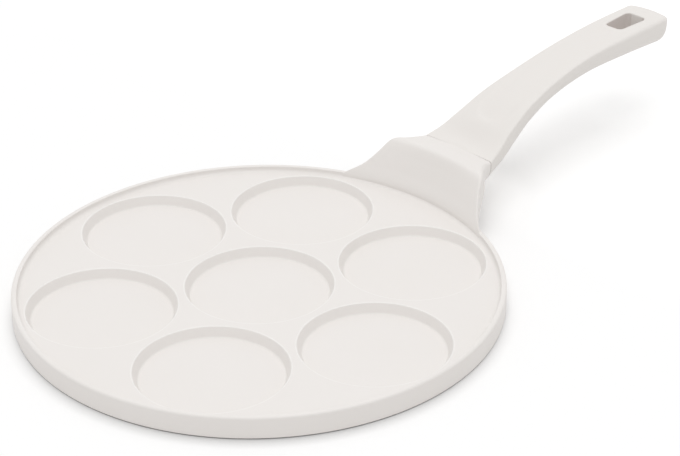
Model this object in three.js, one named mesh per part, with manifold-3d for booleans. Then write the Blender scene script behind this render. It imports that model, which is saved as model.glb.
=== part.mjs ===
// A pancake pan: a cast plate with seven round moulds and a raised lip, a neck cast in one piece with it,
// a moulded handle that slides over the neck's tang and is held by one screw from below, and a perforated
// steel disc set into the base, where pegs of the casting fill its holes.
// Millimetres. +Z is up, +X runs along the handle. The origin is the plate's centre on the standing surface.

import * as THREE from 'three';
import { mergeVertices } from 'three/addons/utils/BufferGeometryUtils.js';
import Module from 'manifold-3d';

const wasm = await Module();
wasm.setup();

// Moulds in the plate. The radius is to the edge where the wall would meet the cooking face unrounded.
const MOULD_RADIUS = 39.5;
const MOULD_DEPTH = 5.3;
const MOULD_WALL_LEAN = 2.6;
const MOULD_EDGE_ROUND = 0.6;
const MOULD_FLOOR_FILLET = 1.2;
const OUTER_MOULDS = 6;
const WEB_BETWEEN_MOULDS = 5.2;

// Plate and lip.
const WEB_TO_LIP = 3.3;
const LIP_WIDTH = 3;
const LIP_HEIGHT = 3.3;
const LIP_INNER_ROUND = 0.6;
const LIP_OUTER_ROUND = 1.3;
const LIP_FOOT_FILLET = 2.2;
const FLOOR_THICKNESS = 3.5;
const BASE_EDGE_ROUND = 0.5;

// Base disc and its ring pattern of holes.
const DISC_INSET = 30;
const DISC_THICKNESS = 1.2;
const DISC_PROUD = 0.4;
const DISC_HOLE_RADIUS = 3;
const DISC_RING_PITCH = 21;
const DISC_PLAIN_EDGE = 8;
const DISC_HOLES_ADDED = 6;
const DISC_CLEARANCE = 0.3;
const PEG_RECESS = 0.2;

// Seam between neck and handle, measured outwards from the rim and up from the lip.
const SEAM_REACH = 25.5;
const SEAM_RISE = 20.1;
const SEAM_HALF_WIDTH = 25;
const SEAM_DEPTH = 18;
const SHOULDER_DEPTH = 18.5;
const SEAM_EDGE_ROUND = 1.4;
const SEAM_GAP = 0.3;

// Neck. The flare is how much wider each side is at the root than at the seam.
const NECK_FLARE = 28;
const NECK_TOP_BAND = 16;
const NECK_RIDGE_LIFT = 2;
const NECK_EDGE_ROUND = 2.2;
const NECK_FOOT_PROUD = 0.3;
const NECK_ROOT_SINK = 1;
const NECK_BELLY_SINK = 1.5;
const NECK_BELLY_LIFT = 1.5;

// Handle.
const HANDLE_LENGTH = 176;
const HANDLE_RISE = 29.8;
const GRIP_HALF_WIDTH = 14.05;
const GRIP_DEPTH = 14.7;
const PALM_DEPTH = 15.3;
const GRIP_EDGE_ROUND = 1.1;
const TIP_HALF_WIDTH = 14.95;
const TIP_DEPTH = 19.5;
const TIP_EDGE_ROUND = 2;
const TIP_PLAN_ROUND = 6;
const TIP_BELLY_ROUND = 9.5;
const TIP_TOP_ROUND = 2;
const TOP_CROWN = 0.8;
const BELLY_FULLNESS = 2.7;
const LEAN_RUN = 20;
const HANG_HOLE_LENGTH = 23.8;
const HANG_HOLE_TIP_WIDTH = 14;
const HANG_HOLE_GRIP_WIDTH = 11.8;
const HANG_HOLE_CORNER = 3;
const HANG_HOLE_TO_TIP = 14.7;
const DISH_LENGTH = 64;
const DISH_WIDTH = 25;
const DISH_DEPTH = 1.2;
const DISH_FROM_SEAM = 21;
const SADDLE_DIP = 1.9;

// Tang on the neck and the socket that it fills.
const TANG_LENGTH = 34;
const TANG_ROOT = 6.4;
const TANG_WIDTH = 22;
const TANG_THICKNESS = 6.4;
const TANG_CORNER = 1.5;
const TANG_BELOW_TOP = 8;
const TANG_TILT = THREE.MathUtils.degToRad(22);
const SOCKET_CLEARANCE = 0.3;

// Screw and washers, along an axis square to the tang.
const SCREW_FROM_SEAM = 17;
const SCREW_RADIUS = 2.5;
const SCREW_CLEARANCE = 0.3;
const SCREW_ENGAGEMENT = 5.6;
const SCREW_HEAD_RADIUS = 4.5;
const SCREW_HEAD_HEIGHT = 2.6;
const SCREW_SLOT_WIDTH = 1.2;
const SCREW_SLOT_LENGTH = 5;
const SCREW_SLOT_DEPTH = 1.4;
const SCREW_WALL = 2.6;
const FLAT_WASHER_RADIUS = 5;
const FLAT_WASHER_THICKNESS = 0.8;
const SPRING_WASHER_RADIUS = 4.3;
const SPRING_WASHER_THICKNESS = 1.1;
const SPRING_WASHER_SLIT = 0.3;
const SEAT_GAP = 0.3;
const COUNTERBORE_CLEARANCE = 0.5;

// How finely round forms are divided.
const PLATE_SEGMENTS = 64;
const MOULD_SEGMENTS = 34;
const HOLE_SEGMENTS = 8;
const SCREW_SEGMENTS = 20;
const DISH_SEGMENTS = 48;
const CORNER_STEPS = 3;
const TOP_STEPS = 4;
const BELLY_STEPS = 6;
const NECK_STEPS = 16;
const HANDLE_STEPS = 26;
const TIP_STEPS = 5;
const WELD_DISTANCE = 1e-4;
// The largest share of a wall's width that the round on one of its edges may take.
const ROUND_SHARE = 0.45;

// Sizes that follow from the ones above.
const PITCH_RADIUS = 2 * MOULD_RADIUS + WEB_BETWEEN_MOULDS;
const LIP_INNER_RADIUS = PITCH_RADIUS + MOULD_RADIUS + WEB_TO_LIP;
const PLATE_RADIUS = LIP_INNER_RADIUS + LIP_WIDTH;
const LIP_ROUND_LIMIT = ROUND_SHARE * LIP_WIDTH;
const DISC_RADIUS = PLATE_RADIUS - DISC_INSET;
const RING_Z = DISC_PROUD;
const MOULD_FLOOR_Z = RING_Z + FLOOR_THICKNESS;
const WEB_Z = MOULD_FLOOR_Z + MOULD_DEPTH;
const LIP_Z = WEB_Z + LIP_HEIGHT;
const SEAM_X = PLATE_RADIUS + SEAM_REACH;
const SEAM_Z = LIP_Z + SEAM_RISE;
const TIP_X = SEAM_X + HANDLE_LENGTH;
const SOCKET_HALF_THICKNESS = TANG_THICKNESS / 2 + SOCKET_CLEARANCE;
const SCREW_SEAT = -(SOCKET_HALF_THICKNESS + SCREW_WALL);

// Turns a geometry into a solid that can be joined and cut. Points that coincide are merged first.
function solid(geometry) {
  const bare = new THREE.BufferGeometry();
  bare.setAttribute('position', geometry.getAttribute('position'));
  bare.setIndex(geometry.getIndex());
  const merged = mergeVertices(bare, WELD_DISTANCE);
  const index = merged.getIndex().array;
  const triangles = [];
  for (let i = 0; i < index.length; i += 3) {
    const [a, b, c] = index.slice(i, i + 3);
    if (a !== b && b !== c && c !== a) {
      triangles.push(a, b, c);
    }
  }
  return new wasm.Manifold(new wasm.Mesh({
    numProp: 3,
    vertProperties: Float32Array.from(merged.getAttribute('position').array),
    triVerts: Uint32Array.from(triangles),
  }));
}

// Turns a solid back into a geometry.
function shape(body) {
  const { vertProperties, triVerts } = body.getMesh();
  const geometry = new THREE.BufferGeometry();
  geometry.setAttribute('position', new THREE.Float32BufferAttribute(vertProperties, 3));
  geometry.setIndex(Array.from(triVerts));
  geometry.computeVertexNormals();
  return geometry;
}

// Rounds the corners of an outline. Each corner is [x, y, radius], and a radius of 0 stays sharp.
function rounded(corners, closed) {
  const points = [];
  corners.forEach(([x, y, radius], i) => {
    const here = new THREE.Vector2(x, y);
    const isEnd = !closed && (i === 0 || i === corners.length - 1);
    if (radius === 0 || isEnd) {
      points.push(here);
      return;
    }
    const [px, py] = corners[(i + corners.length - 1) % corners.length];
    const [nx, ny] = corners[(i + 1) % corners.length];
    const back = new THREE.Vector2(px, py).sub(here).normalize();
    const ahead = new THREE.Vector2(nx, ny).sub(here).normalize();
    const halfAngle = Math.acos(THREE.MathUtils.clamp(back.dot(ahead), -1, 1)) / 2;
    const middle = back.clone().add(ahead).normalize();
    const centre = here.clone().addScaledVector(middle, radius / Math.sin(halfAngle));
    const from = here.clone().addScaledVector(back, radius / Math.tan(halfAngle)).sub(centre);
    const sweep = Math.sign(back.cross(ahead)) * (Math.PI - 2 * halfAngle);
    for (let step = 0; step <= CORNER_STEPS; step += 1) {
      const turned = from.clone().rotateAround(new THREE.Vector2(), -sweep * step / CORNER_STEPS);
      points.push(turned.add(centre));
    }
  });
  return points;
}

// A solid of revolution about +Z. The profile runs in (radius, z) from the bottom of the axis to its top.
function turned(profile, segments) {
  return new THREE.LatheGeometry(profile, segments).rotateX(Math.PI / 2);
}

// A rounded rectangle drawn about the origin.
function roundedRectangle(length, width, corner) {
  const [x, y] = [length / 2, width / 2];
  return new THREE.Shape(rounded([[-x, -y, corner], [x, -y, corner], [x, y, corner], [-x, y, corner]], true));
}

// Value of one column of a table of stations at a place along it, on a smooth curve through the stations.
function along(stations, column, place) {
  const last = stations.length - 2;
  const found = stations.findIndex((station) => station.at > place);
  const i = found < 0 ? last : Math.min(Math.max(found - 1, 0), last);
  const slope = (k) => {
    const before = stations[Math.max(k - 1, 0)];
    const after = stations[Math.min(k + 1, stations.length - 1)];
    return (after[column] - before[column]) / (after.at - before.at);
  };
  const [from, to] = [stations[i], stations[i + 1]];
  const span = to.at - from.at;
  const t = (place - from.at) / span;
  return (2 * t ** 3 - 3 * t ** 2 + 1) * from[column] + (t ** 3 - 2 * t ** 2 + t) * span * slope(i)
    + (3 * t ** 2 - 2 * t ** 3) * to[column] + (t ** 3 - t ** 2) * span * slope(i + 1);
}

// One cross-section of the neck or handle: a faintly crowned top with rounded edges, over a rounded belly.
// top and bottom are (x, z) on the centre plane. bow is the share of the plate's own curve that the
// section follows in plan, so a bow of 1 lies along the rim and a bow of 0 is straight. dip is how far the
// middle of the top is let down.
function crossSection({ top, bottom, halfWidth, edge, fullness, bow, dip }) {
  const depth = top.distanceTo(bottom);
  const down = bottom.clone().sub(top).divideScalar(depth);
  const flat = halfWidth - edge;
  const side = [];
  for (let i = 0; i < TOP_STEPS; i += 1) {
    const y = flat * i / TOP_STEPS;
    side.push([y, THREE.MathUtils.lerp(dip, TOP_CROWN, (y / flat) ** 2)]);
  }
  for (let i = 0; i <= CORNER_STEPS; i += 1) {
    const angle = Math.PI / 2 * i / CORNER_STEPS;
    side.push([flat + edge * Math.sin(angle), TOP_CROWN + edge * (1 - Math.cos(angle))]);
  }
  for (let i = 1; i <= BELLY_STEPS; i += 1) {
    const angle = Math.PI / 2 * i / BELLY_STEPS;
    const belly = depth - TOP_CROWN - edge;
    const y = i === BELLY_STEPS ? 0 : halfWidth * Math.cos(angle) ** (2 / fullness);
    side.push([y, TOP_CROWN + edge + belly * Math.sin(angle) ** (2 / fullness)]);
  }
  const mirrored = side.slice(1, -1).reverse().map(([y, d]) => [-y, d]);
  return [...side, ...mirrored].map(([y, d]) => {
    const sag = bow * (LIP_INNER_RADIUS - Math.sqrt(LIP_INNER_RADIUS ** 2 - y ** 2));
    return new THREE.Vector3(top.x + down.x * d - sag, y, top.y + down.y * d);
  });
}

// A closed skin through a row of rings that have equal numbers of points, with a flat cap at each end.
function loft(rings) {
  const count = rings[0].length;
  const index = [];
  for (let r = 0; r + 1 < rings.length; r += 1) {
    for (let p = 0; p < count; p += 1) {
      const q = (p + 1) % count;
      const [a, b, c, d] = [r * count + p, r * count + q, (r + 1) * count + p, (r + 1) * count + q];
      index.push(a, c, b, b, c, d);
    }
  }
  const end = (rings.length - 1) * count;
  for (let p = 1; p + 1 < count; p += 1) {
    index.push(0, p, p + 1, end, end + p + 1, end + p);
  }
  const geometry = new THREE.BufferGeometry().setFromPoints(rings.flat());
  geometry.setIndex(index);
  return geometry;
}

// Places a geometry that is drawn about the tang's axis: local X runs along the tang, and Z is square to it.
function onTang(geometry) {
  return geometry.rotateY(-TANG_TILT).translate(SEAM_X, 0, SEAM_Z - TANG_BELOW_TOP);
}

// A bar along the tang's axis with a rounded rectangular section.
function tangBar(from, to, width, thickness) {
  const bar = new THREE.ExtrudeGeometry(roundedRectangle(thickness, width, TANG_CORNER), {
    depth: to - from,
    bevelEnabled: false,
  });
  return onTang(bar.rotateY(Math.PI / 2).translate(from, 0, 0));
}

// A solid of revolution on the screw's axis, which crosses the tang's axis. Z is 0 at the tang's middle.
function onScrewAxis(geometry) {
  return onTang(geometry.translate(SCREW_FROM_SEAM, 0, 0));
}

function cylinderBetween(radius, low, high, segments) {
  const profile = [[0, low], [radius, low], [radius, high], [0, high]];
  return turned(profile.map(([r, z]) => new THREE.Vector2(r, z)), segments);
}

// The plate: a turned disc with its lip, and a shallow recess below for the steel disc.
function plateSolid() {
  const pocketRadius = DISC_RADIUS + DISC_CLEARANCE;
  const profile = rounded([
    [0, DISC_THICKNESS, 0],
    [pocketRadius, DISC_THICKNESS, 0],
    [pocketRadius, RING_Z, 0],
    [PLATE_RADIUS, RING_Z, BASE_EDGE_ROUND],
    [PLATE_RADIUS, LIP_Z, Math.min(LIP_OUTER_ROUND, LIP_ROUND_LIMIT)],
    [LIP_INNER_RADIUS, LIP_Z, Math.min(LIP_INNER_ROUND, LIP_ROUND_LIMIT)],
    [LIP_INNER_RADIUS, WEB_Z, LIP_FOOT_FILLET],
    [0, WEB_Z, 0],
  ], false);
  return solid(turned(profile, PLATE_SEGMENTS));
}

// The space of one mould, which is cut out of the plate: a leaning wall with a rounded edge and a fillet below.
function mouldSolid(x, y) {
  const wallAngle = Math.atan2(MOULD_DEPTH, MOULD_WALL_LEAN);
  const edgeRadius = MOULD_RADIUS + MOULD_EDGE_ROUND * Math.tan(wallAngle / 2);
  const profile = rounded([
    [0, MOULD_FLOOR_Z, 0],
    [MOULD_RADIUS - MOULD_WALL_LEAN, MOULD_FLOOR_Z, MOULD_FLOOR_FILLET],
    [MOULD_RADIUS, WEB_Z, MOULD_EDGE_ROUND],
    [edgeRadius, WEB_Z, 0],
    [edgeRadius, LIP_Z, 0],
    [0, LIP_Z, 0],
  ], false);
  return solid(turned(profile, MOULD_SEGMENTS).translate(x, y, 0));
}

// Places on the neck's top, as reach from the rim and rise from the lip: on the straight front face, which
// climbs from the lip to the ridge, or on the top band, which runs from the ridge to the seam.
const NECK_FOOT = new THREE.Vector2(-LIP_WIDTH - NECK_FOOT_PROUD, 0);
const NECK_RIDGE = new THREE.Vector2(SEAM_REACH - NECK_TOP_BAND, SEAM_RISE + NECK_RIDGE_LIFT);

function onFront(share) {
  const place = NECK_FOOT.clone().lerp(NECK_RIDGE, share);
  return { reach: place.x, rise: place.y };
}

function onTop(share, drop) {
  return { reach: NECK_RIDGE.x + NECK_TOP_BAND * share, rise: NECK_RIDGE.y - NECK_RIDGE_LIFT * drop };
}

// Places on the neck's belly, as shares of the way out and up from the foot of the plate's wall to the seam.
function onBelly(out, up) {
  return {
    underReach: THREE.MathUtils.lerp(-NECK_BELLY_SINK, SEAM_REACH, out),
    under: THREE.MathUtils.lerp(NECK_BELLY_LIFT, SEAM_Z - SEAM_DEPTH - RING_Z, up),
  };
}

// Stations of the neck, from its root inside the plate to the seam. flare is a share of the root's flare, and
// full is how square the belly is.
const ROOT_RISE = -LIP_HEIGHT - NECK_ROOT_SINK;
const NECK_STATIONS = [
  { ...onFront(0), rise: ROOT_RISE, ...onBelly(0, 0), flare: 1, bow: 1, full: 7, edge: SEAM_EDGE_ROUND },
  { ...onFront(0), ...onBelly(0, 0), flare: 1, bow: 1, full: 7, edge: SEAM_EDGE_ROUND },
  { ...onFront(0.34), ...onBelly(0.15, 0.06), flare: 0.68, bow: 1, full: 6, edge: NECK_EDGE_ROUND },
  { ...onFront(0.66), ...onBelly(0.35, 0.2), flare: 0.49, bow: 0.9, full: 4.5, edge: NECK_EDGE_ROUND },
  { ...onFront(0.93), ...onBelly(0.56, 0.44), flare: 0.37, bow: 0.64, full: 3.4, edge: NECK_EDGE_ROUND },
  { ...onTop(0.06, 0.15), ...onBelly(0.67, 0.6), flare: 0.31, bow: 0.46, full: 3.1, edge: NECK_EDGE_ROUND },
  { ...onTop(0.27, 0.2), ...onBelly(0.77, 0.73), flare: 0.17, bow: 0.22, full: 2.9, edge: NECK_EDGE_ROUND },
  { ...onTop(0.62, 0.4), ...onBelly(0.9, 0.88), flare: 0.05, bow: 0.06, full: 2.8, edge: NECK_EDGE_ROUND },
  { ...onTop(1, 1), ...onBelly(1, 1), flare: 0, bow: 0, full: BELLY_FULLNESS, edge: SEAM_EDGE_ROUND },
];

// Each station's place is its distance from the root, measured along the top.
NECK_STATIONS.forEach((station, i) => {
  const before = NECK_STATIONS[i - 1];
  const step = before ? Math.hypot(station.reach - before.reach, station.rise - before.rise) : 0;
  station.at = before ? before.at + step : 0;
});

// The neck: one loft that starts as part of the lip and ends flat at the seam.
function neckSolid() {
  const rings = [];
  const end = NECK_STATIONS.at(-1).at;
  for (let i = 0; i <= NECK_STEPS; i += 1) {
    const value = (column) => along(NECK_STATIONS, column, end * i / NECK_STEPS);
    rings.push(crossSection({
      top: new THREE.Vector2(PLATE_RADIUS + value('reach'), LIP_Z + value('rise')),
      bottom: new THREE.Vector2(PLATE_RADIUS + value('underReach'), RING_Z + value('under')),
      halfWidth: SEAM_HALF_WIDTH + NECK_FLARE * value('flare'),
      edge: value('edge'),
      fullness: value('full'),
      bow: value('bow'),
      dip: 0,
    }));
  }
  return solid(loft(rings));
}

// Places that divide a circle evenly, the first of them a given share of a step away from +X.
function roundCircle(radius, count, offset) {
  return Array.from({ length: count }, (_, i) => {
    const angle = 2 * Math.PI * (i + offset) / count;
    return new THREE.Vector2(radius * Math.cos(angle), radius * Math.sin(angle));
  });
}

// Middles of the disc's holes. Each ring has the same number of holes more than the one inside it.
function discHoles() {
  const holes = [];
  const rings = Math.floor((DISC_RADIUS - DISC_PLAIN_EDGE - DISC_HOLE_RADIUS) / DISC_RING_PITCH);
  for (let ring = 1; ring <= rings; ring += 1) {
    holes.push(...roundCircle(ring * DISC_RING_PITCH, ring * DISC_HOLES_ADDED, 0));
  }
  return holes;
}

// The casting in one piece: plate, moulds, pegs, neck and tang. The handle's line runs between two moulds.
function panBody() {
  let body = plateSolid();
  for (const { x, y } of [new THREE.Vector2(), ...roundCircle(PITCH_RADIUS, OUTER_MOULDS, 0.5)]) {
    body = body.subtract(mouldSolid(x, y));
  }
  const pegRadius = DISC_HOLE_RADIUS - DISC_CLEARANCE;
  for (const { x, y } of discHoles()) {
    const peg = cylinderBetween(pegRadius, PEG_RECESS, MOULD_FLOOR_Z / 2, HOLE_SEGMENTS);
    body = body.add(solid(peg.translate(x, y, 0)));
  }
  const tang = solid(tangBar(-TANG_ROOT, TANG_LENGTH, TANG_WIDTH, TANG_THICKNESS));
  const tapped = SCREW_RADIUS + SCREW_CLEARANCE;
  const tappedHole = cylinderBetween(tapped, -TANG_THICKNESS, TANG_THICKNESS, SCREW_SEGMENTS);
  return body.add(neckSolid()).add(tang).subtract(solid(onScrewAxis(tappedHole)));
}

// The base disc, stamped with rings of round holes.
function inductionDisc() {
  const outline = new THREE.Shape().absarc(0, 0, DISC_RADIUS, 0, 2 * Math.PI);
  for (const middle of discHoles()) {
    const edge = roundCircle(DISC_HOLE_RADIUS, HOLE_SEGMENTS, 0).map((point) => point.add(middle));
    outline.holes.push(new THREE.Path(edge));
  }
  const disc = new THREE.ExtrudeGeometry(outline, {
    depth: DISC_THICKNESS,
    bevelEnabled: false,
    curveSegments: PLATE_SEGMENTS,
  });
  return solid(disc);
}

// Stations of the handle. share is of its length, climb of its rise and taper of the narrowing from the seam to
// the grip. depth is square to the top.
const HANDLE_STATIONS = [
  { share: 0, climb: 0, taper: 0, depth: SEAM_DEPTH, edge: SEAM_EDGE_ROUND },
  { share: 0.06, climb: 0.114, taper: 0.23, depth: (SEAM_DEPTH + SHOULDER_DEPTH) / 2, edge: SEAM_EDGE_ROUND },
  { share: 0.128, climb: 0.308, taper: 0.47, depth: SHOULDER_DEPTH, edge: GRIP_EDGE_ROUND },
  { share: 0.23, climb: 0.557, taper: 0.685, depth: (SHOULDER_DEPTH + GRIP_DEPTH) / 2, edge: GRIP_EDGE_ROUND },
  { share: 0.378, climb: 0.775, taper: 0.907, depth: GRIP_DEPTH, edge: GRIP_EDGE_ROUND },
  { share: 0.571, climb: 0.94, taper: 1, depth: PALM_DEPTH, edge: GRIP_EDGE_ROUND },
  { share: 0.77, climb: 1, half: TIP_HALF_WIDTH, depth: (GRIP_DEPTH + TIP_DEPTH) / 2, edge: TIP_EDGE_ROUND },
  { share: 1, climb: 1, half: TIP_HALF_WIDTH, depth: TIP_DEPTH, edge: TIP_EDGE_ROUND },
].map(({ share, climb, taper, half, ...rest }) => ({
  at: share * HANDLE_LENGTH,
  rise: climb * HANDLE_RISE,
  half: half ?? THREE.MathUtils.lerp(SEAM_HALF_WIDTH, GRIP_HALF_WIDTH, taper),
  ...rest,
}));

// How far the top is let down by the saddle between the seam and the dish. The factor in front makes the
// curve's peak 1.
function saddle(place) {
  const share = Math.min(place / DISH_FROM_SEAM, 1);
  return 27 / 4 * SADDLE_DIP * share * (1 - share) ** 2;
}

// One ring of the handle. tip runs from 0, where the tip's rounding starts, to a quarter turn at its end. Over
// the lean run the rings turn from upright, at the seam, to square with the handle's top.
function handleRing(place, tip) {
  const value = (column) => along(HANDLE_STATIONS, column, place);
  const slope = (along(HANDLE_STATIONS, 'rise', place + 1) - along(HANDLE_STATIONS, 'rise', place - 1)) / 2;
  const lean = Math.atan(slope) * THREE.MathUtils.smoothstep(place, 0, LEAN_RUN);
  const shrink = 1 - Math.cos(tip);
  const depth = value('depth') - TIP_BELLY_ROUND * shrink;
  const top = new THREE.Vector2(SEAM_X + place, SEAM_Z + value('rise') - TIP_TOP_ROUND * shrink);
  return crossSection({
    top,
    bottom: new THREE.Vector2(top.x + depth * Math.sin(lean), top.y - depth * Math.cos(lean)),
    halfWidth: value('half') - TIP_PLAN_ROUND * shrink,
    edge: value('edge'),
    fullness: BELLY_FULLNESS,
    bow: 0,
    dip: saddle(place),
  });
}

function handleSolid() {
  const tipStart = HANDLE_LENGTH - TIP_PLAN_ROUND;
  const rings = [];
  for (let i = 0; i <= HANDLE_STEPS; i += 1) {
    rings.push(handleRing(SEAM_GAP + (tipStart - SEAM_GAP) * i / HANDLE_STEPS, 0));
  }
  for (let i = 1; i <= TIP_STEPS; i += 1) {
    const tip = Math.PI / 2 * i / TIP_STEPS;
    rings.push(handleRing(tipStart + TIP_PLAN_ROUND * Math.sin(tip), tip));
  }
  return solid(loft(rings));
}

// The shallow thumb dish, cut by a flattened ball whose lowest part lies under the handle's top.
function dishSolid() {
  const middle = DISH_FROM_SEAM + DISH_LENGTH / 2;
  const [front, back] = [DISH_FROM_SEAM, DISH_FROM_SEAM + DISH_LENGTH].map((place) => (
    along(HANDLE_STATIONS, 'rise', place)
  ));
  const radius = ((DISH_WIDTH / 2) ** 2 + DISH_DEPTH ** 2) / (2 * DISH_DEPTH);
  const ball = new THREE.SphereGeometry(radius, DISH_SEGMENTS, DISH_SEGMENTS);
  ball.scale(DISH_LENGTH / DISH_WIDTH, 1, 1).translate(0, 0, radius - DISH_DEPTH);
  ball.rotateY(-Math.atan2(back - front, DISH_LENGTH));
  return solid(ball.translate(SEAM_X + middle, 0, SEAM_Z + along(HANDLE_STATIONS, 'rise', middle)));
}

function handle() {
  const socketWidth = TANG_WIDTH + 2 * SOCKET_CLEARANCE;
  const socket = tangBar(-TANG_ROOT, TANG_LENGTH + SOCKET_CLEARANCE, socketWidth, 2 * SOCKET_HALF_THICKNESS);
  const screwHole = cylinderBetween(SCREW_RADIUS + SCREW_CLEARANCE, -SEAM_DEPTH, 0, SCREW_SEGMENTS);
  const counterbore = cylinderBetween(FLAT_WASHER_RADIUS + COUNTERBORE_CLEARANCE, -SEAM_DEPTH, SCREW_SEAT,
    SCREW_SEGMENTS);
  const [reach, grip, tip] = [HANG_HOLE_LENGTH / 2, HANG_HOLE_GRIP_WIDTH / 2, HANG_HOLE_TIP_WIDTH / 2];
  const corners = [[-reach, -grip], [reach, -tip], [reach, tip], [-reach, grip]];
  const outline = rounded(corners.map((corner) => [...corner, HANG_HOLE_CORNER]), true);
  const hangHole = new THREE.ExtrudeGeometry(new THREE.Shape(outline), {
    depth: 4 * TIP_DEPTH,
    bevelEnabled: false,
  });
  const holeMiddle = TIP_X - HANG_HOLE_TO_TIP - HANG_HOLE_LENGTH / 2;
  const tipZ = SEAM_Z + HANDLE_STATIONS.at(-1).rise;
  return handleSolid()
    .subtract(solid(socket))
    .subtract(solid(onScrewAxis(screwHole)))
    .subtract(solid(onScrewAxis(counterbore)))
    .subtract(solid(hangHole.translate(holeMiddle, 0, tipZ - 2 * TIP_DEPTH)));
}

// Screw set, stacked down from the seat in the handle's underside.
const FLAT_WASHER_TOP = SCREW_SEAT - SEAT_GAP;
const SPRING_WASHER_TOP = FLAT_WASHER_TOP - FLAT_WASHER_THICKNESS - SEAT_GAP;
const HEAD_TOP = SPRING_WASHER_TOP - SPRING_WASHER_THICKNESS - SEAT_GAP;

function handleScrew() {
  const headBottom = HEAD_TOP - SCREW_HEAD_HEIGHT;
  const profile = rounded([
    [0, headBottom, 0],
    [SCREW_HEAD_RADIUS, headBottom, SCREW_HEAD_HEIGHT / 2],
    [SCREW_HEAD_RADIUS, HEAD_TOP, 0],
    [SCREW_RADIUS, HEAD_TOP, 0],
    [SCREW_RADIUS, SCREW_ENGAGEMENT - TANG_THICKNESS / 2, 0],
    [0, SCREW_ENGAGEMENT - TANG_THICKNESS / 2, 0],
  ], false);
  let screw = solid(turned(profile, SCREW_SEGMENTS));
  for (const size of [[SCREW_SLOT_LENGTH, SCREW_SLOT_WIDTH], [SCREW_SLOT_WIDTH, SCREW_SLOT_LENGTH]]) {
    const slot = new THREE.BoxGeometry(...size, 2 * SCREW_SLOT_DEPTH).translate(0, 0, headBottom);
    screw = screw.subtract(solid(slot));
  }
  return shape(screw);
}

function flatWasher() {
  const bore = SCREW_RADIUS + SCREW_CLEARANCE;
  const low = FLAT_WASHER_TOP - FLAT_WASHER_THICKNESS;
  const profile = [[bore, low], [FLAT_WASHER_RADIUS, low], [FLAT_WASHER_RADIUS, FLAT_WASHER_TOP],
    [bore, FLAT_WASHER_TOP], [bore, low]];
  return turned(profile.map(([r, z]) => new THREE.Vector2(r, z)), SCREW_SEGMENTS);
}

function springWasher() {
  const bore = SCREW_RADIUS + SCREW_CLEARANCE;
  const slit = SPRING_WASHER_SLIT / SPRING_WASHER_RADIUS;
  const outline = new THREE.Shape();
  outline.absarc(0, 0, SPRING_WASHER_RADIUS, slit, 2 * Math.PI - slit, false);
  outline.absarc(0, 0, bore, 2 * Math.PI - slit, slit, true);
  const ring = new THREE.ExtrudeGeometry(outline, {
    depth: SPRING_WASHER_THICKNESS,
    bevelEnabled: false,
    curveSegments: SCREW_SEGMENTS,
  });
  return ring.translate(0, 0, SPRING_WASHER_TOP - SPRING_WASHER_THICKNESS);
}

const COATING = new THREE.MeshStandardMaterial({ color: '#ebe7e4', roughness: 0.5, metalness: 0 });
const MOULDING = new THREE.MeshStandardMaterial({ color: '#e9e5e1', roughness: 0.6, metalness: 0 });
const STEEL = new THREE.MeshStandardMaterial({ color: '#b9bbbd', roughness: 0.35, metalness: 1 });

const pan = new THREE.Group();

function addPiece(name, geometry, material) {
  const mesh = new THREE.Mesh(geometry, material);
  mesh.name = name;
  pan.add(mesh);
}

addPiece('pan_body', shape(panBody()), COATING);
addPiece('induction_disc', shape(inductionDisc()), STEEL);
addPiece('handle', shape(handle().subtract(dishSolid())), MOULDING);
addPiece('handle_screw', onScrewAxis(handleScrew()), STEEL);
addPiece('spring_washer', onScrewAxis(springWasher()), STEEL);
addPiece('flat_washer', onScrewAxis(flatWasher()), STEEL);

export default pan;
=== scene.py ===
import math

import bmesh
import bpy
from mathutils import Matrix, Vector


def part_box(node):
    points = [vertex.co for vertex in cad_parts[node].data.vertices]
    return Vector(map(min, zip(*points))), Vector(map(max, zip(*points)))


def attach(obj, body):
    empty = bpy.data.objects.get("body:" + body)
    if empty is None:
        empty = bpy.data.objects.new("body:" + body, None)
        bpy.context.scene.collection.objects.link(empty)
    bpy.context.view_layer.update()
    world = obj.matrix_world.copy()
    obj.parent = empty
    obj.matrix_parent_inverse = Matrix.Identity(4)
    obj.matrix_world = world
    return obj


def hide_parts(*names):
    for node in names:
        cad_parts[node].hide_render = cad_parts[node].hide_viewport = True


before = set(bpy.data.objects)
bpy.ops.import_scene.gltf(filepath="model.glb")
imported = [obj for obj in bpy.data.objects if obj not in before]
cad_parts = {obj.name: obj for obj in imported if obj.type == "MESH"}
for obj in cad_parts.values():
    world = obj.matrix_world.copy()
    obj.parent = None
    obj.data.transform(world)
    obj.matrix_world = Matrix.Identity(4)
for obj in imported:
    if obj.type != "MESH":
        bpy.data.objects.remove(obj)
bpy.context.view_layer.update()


# Plate of the casting
# The cooking plate is die-cast aluminium: a flat web with round moulds let into it, a raised lip round the
# edge, and a shallow pocket below, where short pegs of the casting fill the holes of the steel base disc.
PLATE_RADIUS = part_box("pan_body")[1].y
PEG_END_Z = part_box("pan_body")[0].z
DISC_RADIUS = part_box("induction_disc")[1].x
DISC_TOP_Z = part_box("induction_disc")[1].z
BASE_RING_Z = 0.0004
BASE_EDGE_ROUND = 0.0005
MOULD_FLOOR_Z = 0.0039
WEB_Z = 0.0092
LIP_Z = 0.0125
LIP_WIDTH = 0.003
LIP_INNER_ROUND = 0.0006
LIP_OUTER_ROUND = 0.0013
LIP_FOOT_FILLET = 0.0022
LIP_INNER_RADIUS = PLATE_RADIUS - LIP_WIDTH
MOULD_RADIUS = 0.0395
MOULD_WALL_LEAN = 0.0026
MOULD_EDGE_ROUND = 0.0006
MOULD_EDGE_BAND = 0.0007
MOULD_FLOOR_FILLET = 0.0012
MOULD_PITCH_RADIUS = 0.0842
OUTER_MOULDS = 6
FLAT_MARGIN = 0.0002
POCKET_CLEARANCE = 0.0003
DISC_HOLE_RADIUS = 0.003
DISC_RING_PITCH = 0.021
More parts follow.
